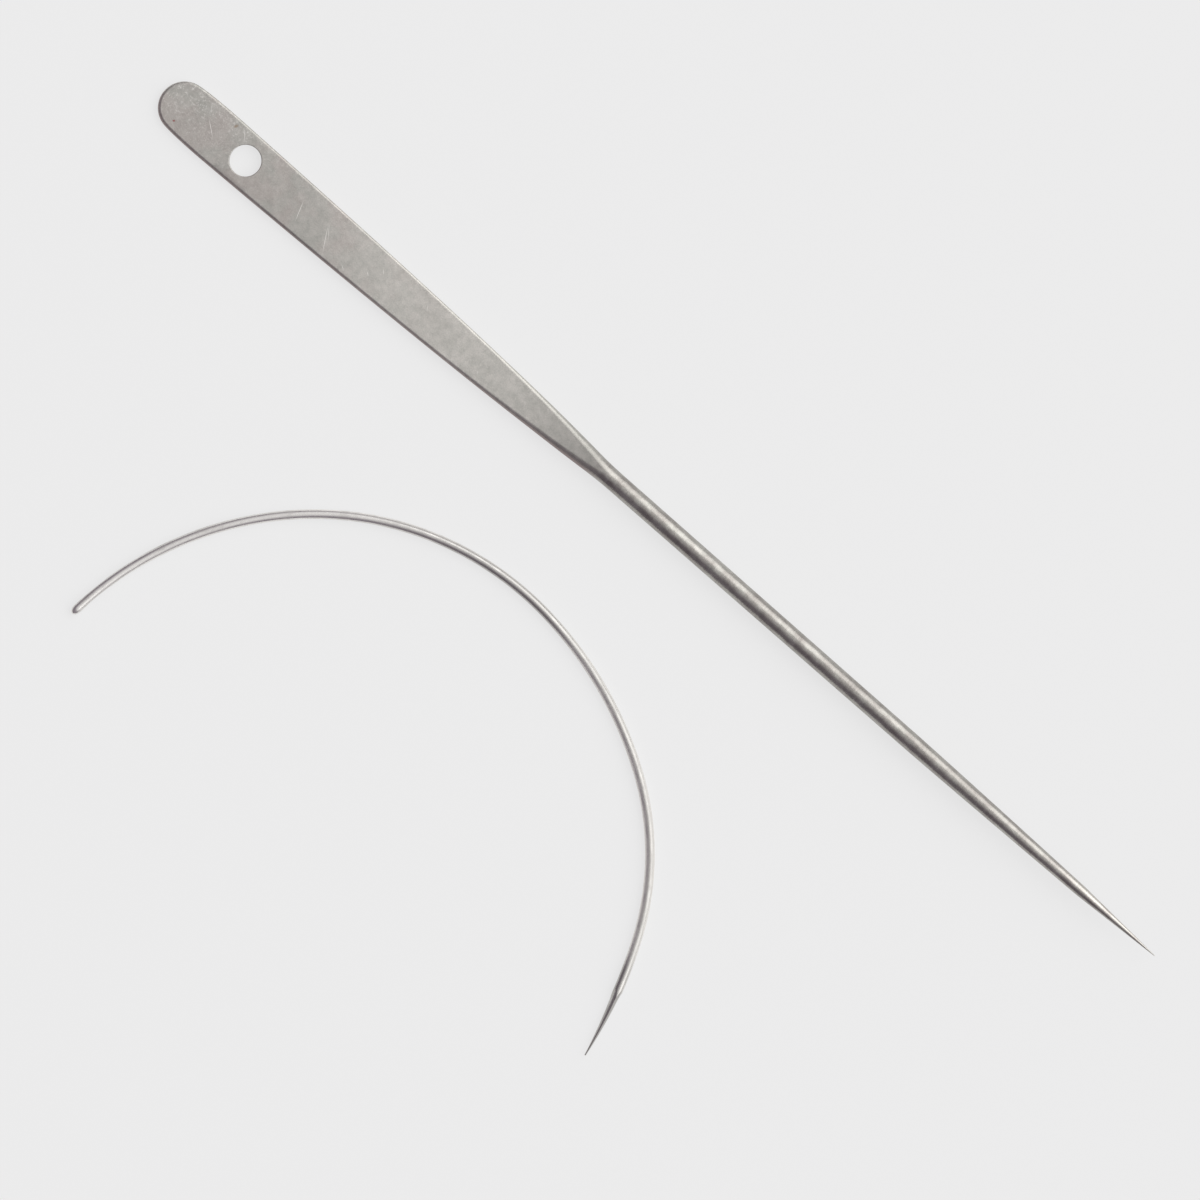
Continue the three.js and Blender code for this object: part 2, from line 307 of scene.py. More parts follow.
def straight_rows():
    """Places of the loops along the straight needle, and the numbers of the first and last at its eye."""
    shoulder = OUTLINE[0][0].x
    reach = EYE_DIAMETER / 2 + EYE_RIM_RADIUS + EYE_MARGIN
    before = steps(shoulder, EYE_FROM_END - reach, STRAIGHT_STEP)
    across = [mix(EYE_FROM_END - reach, EYE_FROM_END + reach, i / EYE_ROWS) for i in range(EYE_ROWS)]
    after = steps(EYE_FROM_END + reach, ROUND_FROM, STRAIGHT_STEP)
    shaft = steps(ROUND_FROM, STRAIGHT_LENGTH - TIP_DIAMETER, STRAIGHT_STEP)
    first = FAN_ROWS + len(before)
    return before + across + after + shaft, first, first + EYE_ROWS


def straight_surface(side, place, depth):
    """The point that lies this deep under the top (side 1) or under side (-1) of the forged flat."""
    x, y = place
    return Vector((x, midline(x) + y, side * (half_thickness(x) - depth)))


def straight_plan(point):
    """The place of a point in plan, with the lean of the head taken out."""
    return Vector((point.x, point.y - midline(point.x)))


def outward_of(heading):
    """The direction out of the bend where the wire heads this way."""
    return Vector((-math.sin(heading), math.cos(heading), 0))


def bend_arcs():
    """The curved needle's middle line as arcs that run on from one another, starting at its blunt end."""
    pieces = (
        (EYE_BEND_LENGTH, EYE_BEND_RADIUS),
        (BACK_BEND_LENGTH, BACK_BEND_RADIUS),
        (SLACK_BEND_LENGTH, SLACK_BEND_RADIUS),
        (TIGHT_BEND_LENGTH, TIGHT_BEND_RADIUS),
        (CURVED_LENGTH, POINT_BEND_RADIUS),
    )
    start = 0.0
    heading = BLUNT_END_HEADING
    middle = Vector((0, 0, 0))
    arcs = []
    for length, radius in pieces:
        centre = middle - outward_of(heading) * radius
        arcs.append((start, start + length, heading, centre, radius))
        start += length
        heading -= length / radius
        middle = centre + outward_of(heading) * radius
    return arcs


BEND = bend_arcs()


def bent(point):
    """A point of the straight wire where the bend takes it: along from the blunt end, outwards and up."""
    start, _, heading, centre, radius = next(arc for arc in BEND if point.x < arc[1])
    outward = outward_of(heading - (point.x - start) / radius)
    return centre + outward * (radius + point.y) + Vector((0, 0, point.z))


def pressed_half(along):
    """Half the wire's thickness across the bend, less where it is pressed flat round its eye."""
    pressed = clamp((along - BLUNT_END_LENGTH) / PRESSED_LENGTH)
    return mix(PRESSED_THICKNESS / 2, WIRE_DIAMETER / 2, pressed)


def gutter_radius(along):
    """The radius of the gutter that leads the thread out of the eye, which fades at both its ends."""
    share = (along - SLOT_FROM_END - SLOT_LENGTH / 2) / GUTTER_LENGTH
    if not 0 < share < 1:
        return 0.0
    return GUTTER_RADIUS * math.sin(share * math.pi) ** GUTTER_BLUNTNESS


def wire_half(along, z):
    """How far the wire's outer and inner faces are from its middle line at this height."""
    half = min(pressed_half(along), math.sqrt(max((WIRE_DIAMETER / 2) ** 2 - z * z, 0)))
    radius = gutter_radius(along)
    if abs(z) < radius:
        gutter_middle = PRESSED_THICKNESS / 2 - GUTTER_DEPTH + GUTTER_RADIUS
        half = min(half, gutter_middle - math.sqrt(radius * radius - z * z))
    return half


def three_sided_reach(inradius, angle):
    """How far a section of three facets reaches from the middle line, with one of its edges nearly up.

    Each facet is crowned, with a radius of GROUND_CROWN times its distance from the middle line.
    """
    third = 2 * math.pi / 3
    from_facet = (angle + GROUND_LEAN) % third - third / 2
    radius = GROUND_CROWN * inradius
    centre = inradius - radius
    return centre * math.cos(from_facet) + math.sqrt(radius ** 2 - (centre * math.sin(from_facet)) ** 2)


def ground_inradius(from_tip):
    """How far the ground facets are from the middle line, out to where they run out on the wire."""
    if from_tip < GROUND_LENGTH:
        return mix(GROUND_TIP_INRADIUS, GROUND_BASE_INRADIUS, from_tip / GROUND_LENGTH)
    run_out = clamp((from_tip - GROUND_LENGTH) / RUN_OUT_LENGTH)
    return mix(GROUND_BASE_INRADIUS, WIRE_DIAMETER / 2, run_out ** RUN_OUT_RISE)


def wire_loop(along, scale=1.0):
    """One loop round the curved needle as straight wire, from its top down the inner side of the bend."""
    inradius = ground_inradius(CURVED_LENGTH - along)
    loop = []
    for k in range(WIRE_COLUMNS):
        angle = 2 * math.pi * k / WIRE_COLUMNS
        reach = min(WIRE_DIAMETER / 2, three_sided_reach(inradius, angle))
        side = -reach * math.sin(angle)
        z = reach * math.cos(angle)
        limit = wire_half(along, z)
        loop.append(Vector((along, clamp(side, -limit, limit) * scale, z * scale)))
    return loop


def blunt_end_loops():
    """Loops of the rounded blunt end, which grow like a quarter circle."""
    loops = []
    for row in range(BLUNT_ROWS):
        rise = (math.pi / 2) * row / BLUNT_ROWS
        loops.append(wire_loop(BLUNT_END_LENGTH * (1 - math.cos(rise)), math.sin(rise)))
    return loops


def wire_rows():
    """Places of the loops along the wire, and the numbers of the first and last at its eye."""
    slot_start = SLOT_FROM_END - SLOT_MARGIN
    slot_end = SLOT_FROM_END + SLOT_LENGTH + SLOT_MARGIN
    ground_start = CURVED_LENGTH - GROUND_LENGTH - RUN_OUT_LENGTH
    before = steps(BLUNT_END_LENGTH, slot_start, SLOT_MARGIN)
    across = [mix(slot_start, slot_end, i / SLOT_ROWS) for i in range(SLOT_ROWS)]
    gutters = steps(slot_end, SLOT_FROM_END + SLOT_LENGTH / 2 + GUTTER_LENGTH, SLOT_MARGIN)
    wire = steps(SLOT_FROM_END + SLOT_LENGTH / 2 + GUTTER_LENGTH, ground_start, WIRE_STEP)
    ground = steps(ground_start, CURVED_LENGTH, GROUND_STEP)
    first = BLUNT_ROWS + len(before)
    return before + across + gutters + wire + ground + [CURVED_LENGTH], first, first + SLOT_ROWS


def wire_surface(side, place, depth):
    """The point that lies this deep under the outer (side 1) or inner (side -1) face of the wire."""
    along, z = place
    return Vector((along, side * (wire_half(along, z) - depth), z))


def hole_edge(place, middle, half_straight, radius):
    """The point of a hole with round ends that lies nearest to a place outside it."""
    core = Vector((clamp(place.x, middle.x - half_straight, middle.x + half_straight), middle.y))
    return core + (place - core).normalized() * radius


def hole_rings(places, middle, half_straight, radius, rim, surface):
    """Rings of points from one face's opening, over its rounded rim, through the hole to the other face."""
    face = []
    for share in RING_SHARES:
        face.append([(p.lerp(hole_edge(p, middle, half_straight, radius + rim), share), 0) for p in places])
    for row in range(RIM_ROWS + 1):
        turn = (math.pi / 2) * row / RIM_ROWS
        wide = radius + rim * (1 - math.sin(turn))
        deep = rim * (1 - math.cos(turn))
        face.append([(hole_edge(p, middle, half_straight, wide), deep) for p in places])
    near = [[surface(1, place, depth) for place, depth in ring] for ring in face]
    far = [[surface(-1, place, depth) for place, depth in ring] for ring in reversed(face)]
    return near + far


def window(first, last, left, right):
    """Grid places round a window of a lofted skin, as (row, column), once round."""
    return (
        [(first, c) for c in range(left, right)]
        + [(r, right) for r in range(first, last)]
        + [(last, c) for c in range(right, left, -1)]
        + [(r, left) for r in range(last, first, -1)]
    )


def skin(mesh, loops, skipped):
    """Quads through a row of closed loops, leaving out those that skipped(row, column) names."""
    grid = [[mesh.verts.new(point) for point in loop] for loop in loops]
    count = len(loops[0])
    for row in range(len(grid) - 1):
        for k in range(count):
            if not skipped(row, k):
                after = (k + 1) % count
                mesh.faces.new((grid[row][k], grid[row][after], grid[row + 1][after], grid[row + 1][k]))
    return grid


def join_rings(mesh, rings):
    """Quads between each ring and the next one."""
    for ring, next_ring in zip(rings, rings[1:]):
        for k in range(len(ring)):
            after = (k + 1) % len(ring)
            mesh.faces.new((ring[k], ring[after], next_ring[after], next_ring[k]))


def cut_window(mesh, grid, near, far, rings):
    """Joins the two open windows of a skin by the rings of a hole that runs between them."""
    edge = [grid[row][k] for row, k in near]
    far_edge = [grid[row][k] for row, k in far]
    made = [[mesh.verts.new(point) for point in ring] for ring in rings]
    join_rings(mesh, [edge] + made + [far_edge])


def finish_mesh(mesh, name, place, shaped=None):
    """A smooth object from a mesh in needle millimetres, keeping those places as its grain attribute.

    shaped takes each point to where it lies once the needle is bent.
    """
    unused = [vertex for vertex in mesh.verts if not vertex.link_faces]
    bmesh.ops.delete(mesh, geom=unused, context="VERTS")
    bmesh.ops.remove_doubles(mesh, verts=mesh.verts, dist=MERGE_DISTANCE)
    bmesh.ops.recalc_face_normals(mesh, faces=mesh.faces)
    data = bpy.data.meshes.new(name)
    mesh.to_mesh(data)
    mesh.free()
    layer = data.attributes.new("grain", "FLOAT_VECTOR", "POINT")
    for vertex, value in zip(data.vertices, layer.data):
        value.vector = vertex.co
        if shaped:
            vertex.co = shaped(vertex.co)
    data.transform(place)
    for polygon in data.polygons:
        polygon.use_smooth = True
    data.set_sharp_from_angle(angle=SHARP_ANGLE)
    piece = bpy.data.objects.new(name, data)
    bpy.context.collection.objects.link(piece)
    return piece


def head_end_place():
    """Where the straight needle's head end and shaft axis lie in the frame, read from the shaft's box."""
    low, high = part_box("straight_needle_shaft")
    return Vector((high.x - STRAIGHT_LENGTH * math.cos(LIE) * MM, (low.y + high.y) / 2, 0))


def straight_place():
    """The needle rests on its head's end and on the thick start of its shaft, so its point is raised."""
    rise = HEAD_THICKNESS / 2 * (math.cos(LIE) - math.sin(LIE)) * MM
    shift = Matrix.Translation(head_end_place() + Vector((0, 0, rise)))
    return shift @ Matrix.Rotation(-LIE, 4, "Y") @ Matrix.Scale(MM, 4)


def curved_place():
    """The curved needle lies flat, with its blunt end at this place beside the straight one."""
    blunt_end = Vector((BLUNT_END_FROM_HEAD_END, -BLUNT_END_FROM_SHAFT, WIRE_DIAMETER / 2)) * MM
    return Matrix.Translation(head_end_place() + blunt_end) @ Matrix.Scale(MM, 4)


def straight_needle():
    """One skin from the forged head to the point, with the round eye cut from its top to its under side."""
    mesh = bmesh.new()
    rows, first, last = straight_rows()
    left = FLAT_COLUMNS - 1
    far_left = left + SIDE_COLUMNS
    count = 2 * (FLAT_COLUMNS + SIDE_COLUMNS)
    flats = set(range(left)) | {count - 1} | set(range(far_left, far_left + FLAT_COLUMNS))
    loops = head_end_loops() + [loop_at(x) for x in rows] + tip_loops()
    grid = skin(mesh, loops, lambda row, k: first <= row < last and k in flats)
    # The window on top, and the same one on the under side
    near = window(first, last, -1, left)
    far = [(row, (2 * left + SIDE_COLUMNS - k) % count) for row, k in near]
    places = [straight_plan(grid[row][k].co) for row, k in near]
    middle = Vector((EYE_FROM_END, 0))
    rings = hole_rings(places, middle, 0, EYE_DIAMETER / 2, EYE_RIM_RADIUS, straight_surface)
    cut_window(mesh, grid, near, far, rings)
    needle = finish_mesh(mesh, "straight_needle_steel", straight_place())
    needle.data.materials.append(satin_steel())
    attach(needle, "straight_needle")
    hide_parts("straight_needle_head", "straight_needle_shaft")


def curved_needle():
    """One skin from the blunt end to the ground point, with the slot of its eye cut across the bend."""
    mesh = bmesh.new()
    rows, first, last = wire_rows()
    inner = WIRE_COLUMNS // 4
    outer = 3 * inner
    slotted = {side + k for side in (inner, outer) for k in range(-SLOT_COLUMNS, SLOT_COLUMNS)}
    loops = blunt_end_loops() + [wire_loop(along) for along in rows]
    grid = skin(mesh, loops, lambda row, k: first <= row < last and k in slotted)
    mesh.faces.new(grid[-1])
    # The window outside the bend, and the same one inside it
    near = window(first, last, outer - SLOT_COLUMNS, outer + SLOT_COLUMNS)
    far = [(row, WIRE_COLUMNS - k) for row, k in near]
    places = [grid[row][k].co.xz for row, k in near]
    middle = Vector((SLOT_FROM_END + SLOT_LENGTH / 2, 0))
    half_straight = (SLOT_LENGTH - SLOT_WIDTH) / 2
    rings = hole_rings(places, middle, half_straight, SLOT_WIDTH / 2, SLOT_RIM_RADIUS, wire_surface)
    cut_window(mesh, grid, near, far, rings)
    needle = finish_mesh(mesh, "curved_needle_steel", curved_place(), bent)
    needle.data.materials.append(bright_steel())
    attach(needle, "curved_needle")
    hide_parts("curved_needle")


# Sockets of a mix node that mixes colours
MIX_A = 6
MIX_B = 7
MIX_RESULT = 2


class Nodes:
    """Short calls that add nodes to a material. Those that work out a value return its socket."""

    def __init__(self, name):
        self.material = bpy.data.materials.new(name)
        self.material.use_nodes = True
        self.tree = self.material.node_tree
        self.tree.nodes.clear()

    def add(self, kind, **settings):
        node = self.tree.nodes.new(kind)
        for key, value in settings.items():
            setattr(node, key, value)
        return node

    def fill(self, socket, value):
        if isinstance(value, bpy.types.NodeSocket):
            self.tree.links.new(value, socket)
        elif hasattr(socket.default_value, "__len__") and len(socket.default_value) == 4:
            socket.default_value = (*value, 1.0)
        else:
            socket.default_value = value

    def grain(self):
        """Places on the needle in millimetres: along it, across it and up."""
        return self.add("ShaderNodeAttribute", attribute_name="grain").outputs["Vector"]

    def stretched(self, vector, scale, turn=0.0, at=(0, 0, 0), kind="POINT"):
        node = self.add("ShaderNodeMapping", vector_type=kind)
        self.fill(node.inputs["Vector"], vector)
        node.inputs["Location"].default_value = at
        node.inputs["Rotation"].default_value = (0, 0, turn)
        node.inputs["Scale"].default_value = scale
        return node.outputs[0]

    def noise(self, vector, scale, detail, roughness):
        node = self.add("ShaderNodeTexNoise")
        self.fill(node.inputs["Vector"], vector)
        node.inputs["Scale"].default_value = scale
        node.inputs["Detail"].default_value = detail
        node.inputs["Roughness"].default_value = roughness
        return node.outputs[0]

    def range(self, value, low, high, to_low=0.0, to_high=1.0, smooth=False):
        node = self.add("ShaderNodeMapRange", interpolation_type="SMOOTHSTEP" if smooth else "LINEAR")
        self.fill(node.inputs["Value"], value)
        ends = {"From Min": low, "From Max": high, "To Min": to_low, "To Max": to_high}
        for name, number in ends.items():
            node.inputs[name].default_value = number
        return node.outputs[0]

    def math(self, operation, a, b):
        node = self.add("ShaderNodeMath", operation=operation)
        self.fill(node.inputs[0], a)
        self.fill(node.inputs[1], b)
        return node.outputs[0]

    def product(self, first, *others):
        for other in others:
            first = self.math("MULTIPLY", first, other)
        return first

    def length(self, vector):
        node = self.add("ShaderNodeVectorMath", operation="LENGTH")
        self.fill(node.inputs[0], vector)
        return node.outputs["Value"]

    def parts(self, vector):
        node = self.add("ShaderNodeSeparateXYZ")
        self.fill(node.inputs[0], vector)
        return node.outputs

    def blend(self, share, a, b, kind="MIX"):
        node = self.add("ShaderNodeMix", data_type="RGBA", blend_type=kind)
        self.fill(node.inputs[0], share)
        self.fill(node.inputs[MIX_A], a)
        self.fill(node.inputs[MIX_B], b)
        return node.outputs[MIX_RESULT]

    def bump(self, height, distance, strength, under=None):
        node = self.add("ShaderNodeBump")
        self.fill(node.inputs["Height"], height)
        node.inputs["Distance"].default_value = distance
        node.inputs["Strength"].default_value = strength
        if under is not None:
            self.fill(node.inputs["Normal"], under)
        return node.outputs[0]

    def surface(self, **values):
        shader = self.add("ShaderNodeBsdfPrincipled")
        for name, value in values.items():
            self.fill(shader.inputs[name.replace("_", " ")], value)
        output = self.add("ShaderNodeOutputMaterial")
        self.tree.links.new(shader.outputs[0], output.inputs["Surface"])
        return self.material


# Steel colours, as linear red, green and blue
WARM_STEEL = (0.475, 0.455, 0.425)
PINKISH_STEEL = (0.488, 0.451, 0.42)
GREENISH_STEEL = (0.465, 0.458, 0.422)
# The colour of scratches and specks, also used for painted glints
SCRATCH_AND_GLINT_STEEL = (0.88, 0.86, 0.82)
# Painted shade: the dark reddish colour of the forged flat's side away from the key light
PAINTED_SHADE_STEEL = (0.3, 0.22, 0.22)
BROWN_STAIN = (0.32, 0.21, 0.13)
RED_SPOT = (0.3, 0.05, 0.05)
# Painted light: the wire is this light near its eye and turns to the darker colour further on
BRIGHT_STEEL = (0.84, 0.82, 0.79)
DARKER_WIRE_STEEL = (0.47, 0.455, 0.435)
# The matt stretch's colour, made lighter than the wire around it as painted light
MATT_WIRE_STEEL = (0.58, 0.565, 0.54)

# Oblong marks on the forged flat: middle along and across, half length, half width and angle in degrees
SCRATCHES = (
    (9.14, -0.2, 1.9, 0.07, -38),
    (27.53, -0.74, 2.2, 0.07, -71),
    (33.35, -1.41, 3.0, 0.06, -60),
    (32.95, -0.15, 1.6, 0.05, -52),
    (13.71, 2.4, 1.3, 0.06, -51),
    (13.21, 2.8, 0.8, 0.04, -44),
    (38.15, -2.87, 0.7, 0.05, -31),
    (41.67, -1.08, 0.5, 0.06, -35),
    (43.28, 0.72, 0.6, 0.05, -45),
    (51.9, 1.0, 0.75, 0.045, -58),
    (64.12, -1.28, 0.35, 0.05, -61),
)
STAINS = ((11.8, 2.6, 0.55, 0.3, 65),)
RED_SPOTS = ((4.13, -3.05, 0.28, 0.2, 30),)

# Round marks there: middle along and across, and radius
SPECKS = (
    (11.74, 1.79, 0.09),
    (11.16, 2.67, 0.08),
    (5.84, -2.39, 0.08),
    (1.08, -0.59, 0.07),
    (22.51, -3.94, 0.09),
)

# How strongly the marks show, and which share of a mark's half width is its soft rim
SCRATCH_STRENGTH = 0.8
STAIN_STRENGTH = 0.55
RED_SPOT_STRENGTH = 0.8
MARK_SOFTNESS = 0.7

# Patterns in the straight needle's steel: how many to the mm, how detailed and how rough, and how stretched
CLOUDS = (0.16, 3.0, 0.6)
MOTTLE = (0.8, 5.0, 0.7)
FINE_GRAIN = (5.0, 2.0, 0.6)
GLINTS = (2.6, 2.0, 0.7)
BLOTCHES = (1.0, 3.0, 0.6)
BLOTCH_STRETCH = (0.4, 0.6, 0.6)
GRINDING = (1.0, 2.0, 0.6)
GRINDING_STRETCH = (6.0, 0.5, 0.5)

# Ranges on the straight needle: a place or pattern from and to, then what it gives there if not 0 and 1
SHAFT_BEGINS = (FLAT_LENGTH - 4, FLAT_LENGTH + 1)
PINKISH_CLOUDS = (0.42, 0.6)
PINKISH_PLATE = (60.0, 30.0)
PINKISH_BLOTCHES = (0.35, 0.65)
WARM_MOTTLE = (0.35, 0.65, 0.0, 0.7)
PLATE_SHADE = (22.0, 50.0, 1.0, 1.22)
NECK_SHADE = (66.0, FLAT_LENGTH + 4, 1.0, 0.66)
# Painted light: lighter on the side toward the key light
PAINTED_SIDE_LIGHT = (-4.0, 4.0, 0.97, 1.05)
MOTTLE_SHADE = (0.3, 0.7, 0.86, 1.14)
FINE_SHADE = (0.25, 0.75, 0.9, 1.1)
# Painted highlight: lighter towards the point
PAINTED_POINT_LIGHT = (165.0, 195.0, 1.0, 1.22)
TIP_BEGINS = (178.0, 188.0)
# Painted light and shade on the tip: lighter on the side toward the key light, darker on the other
PAINTED_TIP_SIDE_LIGHT = (-0.2, 0.25, -0.15, 0.3)
GRINDING_SHADE = (0.3, 0.7, -0.07, 0.07)
BLOTCH_SHADE = (0.3, 0.7, 0.2, -0.2)
# Painted glints: near the head's end, stronger on the side toward the key light
PAINTED_GLINT_END = (30.0, 2.0)
PAINTED_GLINT_SIDE = (-5.0, 4.0, 0.2, 0.9)
GLINT_STRENGTH = (0.53, 0.75, 0.0, 0.9)
OFF_THE_FLAT = (0.97, 0.55)
# Painted shade: on the side away from the key light
PAINTED_SHADE_SIDE = (-0.3, -1.2, 0.0, 0.7)
SATIN_ROUGHNESS = (0.2, 0.8, 0.42, 0.5)

# How much smoother its shaft is than its flat, and how deep the bumps of each pattern are, in metres
SHAFT_SMOOTHNESS = 0.16
BUMP_STRENGTH = 0.5
FINE_DEPTH = 0.01 * MM
MOTTLE_DEPTH = 0.02 * MM
GRINDING_DEPTH = 0.012 * MM
BLOTCH_DEPTH = 0.1 * MM


def mark(nodes, grain, x, y, half_long, half_wide, degrees):
    """A faint long or round mark on the top face of the forged flat: 1 in its middle, 0 outside it."""
    top = HEAD_THICKNESS / 2
    scale = (half_long, half_wide, top)
    local = nodes.stretched(grain, scale, math.radians(degrees), (x, y, top), "TEXTURE")
    return nodes.range(nodes.length(local), 1.0, 1.0 - MARK_SOFTNESS, smooth=True)


def marks(nodes, grain, rows):
    """All the marks of one kind together."""
    total = 0.0
    for row in rows:
        total = nodes.math("MAXIMUM", mark(nodes, grain, *row), total)
    return total


class SatinPatterns:
    """The sockets that the straight needle's look is made from: places on it and patterns in its steel."""

    def __init__(self, nodes):
        self.grain = nodes.grain()
        self.along, self.across, self.up = nodes.parts(self.grain)
        self.on_shaft = nodes.range(self.along, *SHAFT_BEGINS, smooth=True)
        self.clouds = nodes.noise(self.grain, *CLOUDS)
        self.mottle = nodes.noise(self.grain, *MOTTLE)
        self.fine = nodes.noise(self.grain, *FINE_GRAIN)
        self.glint = nodes.noise(self.grain, *GLINTS)
        self.blotches = nodes.noise(nodes.stretched(self.grain, BLOTCH_STRETCH), *BLOTCHES)
        self.grinding = nodes.noise(nodes.stretched(self.grain, GRINDING_STRETCH), *GRINDING)


def satin_tint(nodes, at):
    """The steel's own colour: warm grey that turns a little pinkish or greenish in patches."""
    on_plate = nodes.product(
        nodes.range(at.clouds, *PINKISH_CLOUDS, smooth=True),
        nodes.range(at.along, *PINKISH_PLATE),
    )
    on_shaft = nodes.product(at.on_shaft, nodes.range(at.blotches, *PINKISH_BLOTCHES))
    tint = nodes.blend(nodes.math("ADD", on_plate, on_shaft), GREENISH_STEEL, PINKISH_STEEL)
    return nodes.blend(nodes.range(at.mottle, *WARM_MOTTLE), tint, WARM_STEEL)


def satin_shade(nodes, at):
    """How light the steel is from place to place, where 1 leaves its colour as it is. Painted light is part
    of it: lighter on the side toward the key light and towards the point, and on the tip lighter on that
    side and darker on the other.
    """
    # Painted light and shade on the tip's two sides
    on_tip = nodes.range(at.along, *TIP_BEGINS, smooth=True)
    painted_tip_light = nodes.product(on_tip, nodes.range(at.across, *PAINTED_TIP_SIDE_LIGHT))
    striped = nodes.product(at.on_shaft, nodes.range(at.grinding, *GRINDING_SHADE))
    blotchy = nodes.product(at.on_shaft, nodes.range(at.blotches, *BLOTCH_SHADE))
    return nodes.product(
        nodes.range(at.along, *PLATE_SHADE, smooth=True),
        nodes.range(at.along, *NECK_SHADE, smooth=True),
        nodes.range(at.across, *PAINTED_SIDE_LIGHT),
        nodes.range(at.mottle, *MOTTLE_SHADE),
        nodes.range(at.fine, *FINE_SHADE),
        nodes.range(at.along, *PAINTED_POINT_LIGHT, smooth=True),
        nodes.math("ADD", painted_tip_light, 1.0),
        nodes.math("ADD", nodes.math("ADD", striped, blotchy), 1.0),
    )


def satin_wear_and_glints(nodes, at):
    """How much bright steel shows: painted glints towards the head's end, on the side toward the key light,
    and real scratches and specks.
    """
    # Painted glints near the head's end, on the side toward the key light
    glint_place = nodes.product(nodes.range(at.along, *PAINTED_GLINT_END), nodes.range(at.across, *PAINTED_GLINT_SIDE))
    glints = nodes.product(glint_place, nodes.range(at.glint, *GLINT_STRENGTH))
    scratched = marks(nodes, at.grain, SCRATCHES)
    specks = marks(nodes, at.grain, [(x, y, radius, radius, 0) for x, y, radius in SPECKS])
    marked = nodes.product(nodes.math("MAXIMUM", scratched, specks), SCRATCH_STRENGTH)
    return nodes.math("MAXIMUM", glints, marked)


def satin_painted_shade(nodes, at):
    """Painted shade: how dark and reddish the steel is painted along the right of the forged flat, on its
    side and under side, away from the key light.
    """
    # Painted shade, off the top of the flat and on the side away from the key light
    forged = nodes.math("POWER", nodes.range(at.along, HEAD_PLATE_LENGTH, FLAT_LENGTH), FORGED_RISE)
    thick = nodes.range(forged, 0.0, 1.0, HEAD_THICKNESS / 2, SHAFT_DIAMETER / 2)
    return nodes.product(
        nodes.range(nodes.math("DIVIDE", at.up, thick), *OFF_THE_FLAT),
        nodes.range(at.across, *PAINTED_SHADE_SIDE),
        nodes.range(at.on_shaft, 0.0, 1.0, 1.0, 0.0),
    )


def satin_bumps(nodes, at):
    """The unevenness of the steel, coarser on the shaft, where it was ground across."""
    normal = nodes.bump(at.fine, FINE_DEPTH, BUMP_STRENGTH)
    normal = nodes.bump(at.mottle, MOTTLE_DEPTH, BUMP_STRENGTH, normal)
    normal = nodes.bump(nodes.product(at.on_shaft, at.grinding), GRINDING_DEPTH, BUMP_STRENGTH, normal)
    return nodes.bump(nodes.product(at.on_shaft, at.blotches), BLOTCH_DEPTH, BUMP_STRENGTH, normal)


def satin_steel():
    """Warm grey ground steel: mottled and scratched on the flat, blotchy and cross-ground on the shaft."""
    nodes = Nodes("satin_steel")
    at = SatinPatterns(nodes)
    stained = nodes.product(marks(nodes, at.grain, STAINS), STAIN_STRENGTH)
    spotted = nodes.product(marks(nodes, at.grain, RED_SPOTS), RED_SPOT_STRENGTH)
    colour = nodes.blend(1.0, satin_tint(nodes, at), satin_shade(nodes, at), "MULTIPLY")
    colour = nodes.blend(satin_wear_and_glints(nodes, at), colour, SCRATCH_AND_GLINT_STEEL)
    colour = nodes.blend(stained, colour, BROWN_STAIN)
    colour = nodes.blend(spotted, colour, RED_SPOT)
    colour = nodes.blend(satin_painted_shade(nodes, at), colour, PAINTED_SHADE_STEEL)
    smoother = nodes.product(at.on_shaft, SHAFT_SMOOTHNESS)
    rough = nodes.math("SUBTRACT", nodes.range(at.mottle, *SATIN_ROUGHNESS), smoother)
    normal = satin_bumps(nodes, at)
    return nodes.surface(Base_Color=colour, Metallic=1.0, Roughness=rough, Normal=normal)


# Patterns in the curved needle's wire, given as for the straight needle
WIRE_CLOUDS = (0.5, 3.0, 0.6)
WIRE_GRAIN = (4.0, 2.0, 0.6)
DRAWN_LINES = (1.0, 3.0, 0.6)
DRAWN_STRETCH = (0.25, 9.0, 9.0)

# Ranges on the wire, given in the same way: along it, out of its bend or of a pattern
WIRE_PATCHES = (0.35, 0.65, -0.15, 0.15)
# Painted light: lighter before this stretch, darker after it
DARKER_WIRE_BEGINS = (35.0, 75.0)
MATT_BEGINS = (78.0, 90.0)
MATT_ENDS = (140.0, 136.0)
# Painted light on the matt stretch: much lighter towards its inner side
PAINTED_MATT_INNER_LIGHT = (-0.4, -0.05, 1.5, 0.85)
PAINTED_MATT_OUTER_LIGHT = (0.0, 0.3, 1.0, 1.15)
DRAWN_SHADE = (0.25, 0.75, 0.92, 1.08)
WIRE_GRAIN_SHADE = (0.2, 0.8, 0.92, 1.08)
# Painted shade along the outer edge near the eye, and a painted highlight along it further on
PAINTED_OUTER_EDGE = (0.45, 0.65)
PAINTED_OUTER_EDGE_LIGHT = (25.0, 70.0, -0.15, 0.5)
WIRE_ROUGHNESS = (0.3, 0.7, 0.24, 0.34)

# How much rougher its matt stretch is, and how deep and strong the bumps of each pattern are
MATT_ROUGHNESS = 0.22
WIRE_BUMP_DEPTH = 0.006 * MM
DRAWN_BUMP_STRENGTH = 0.6


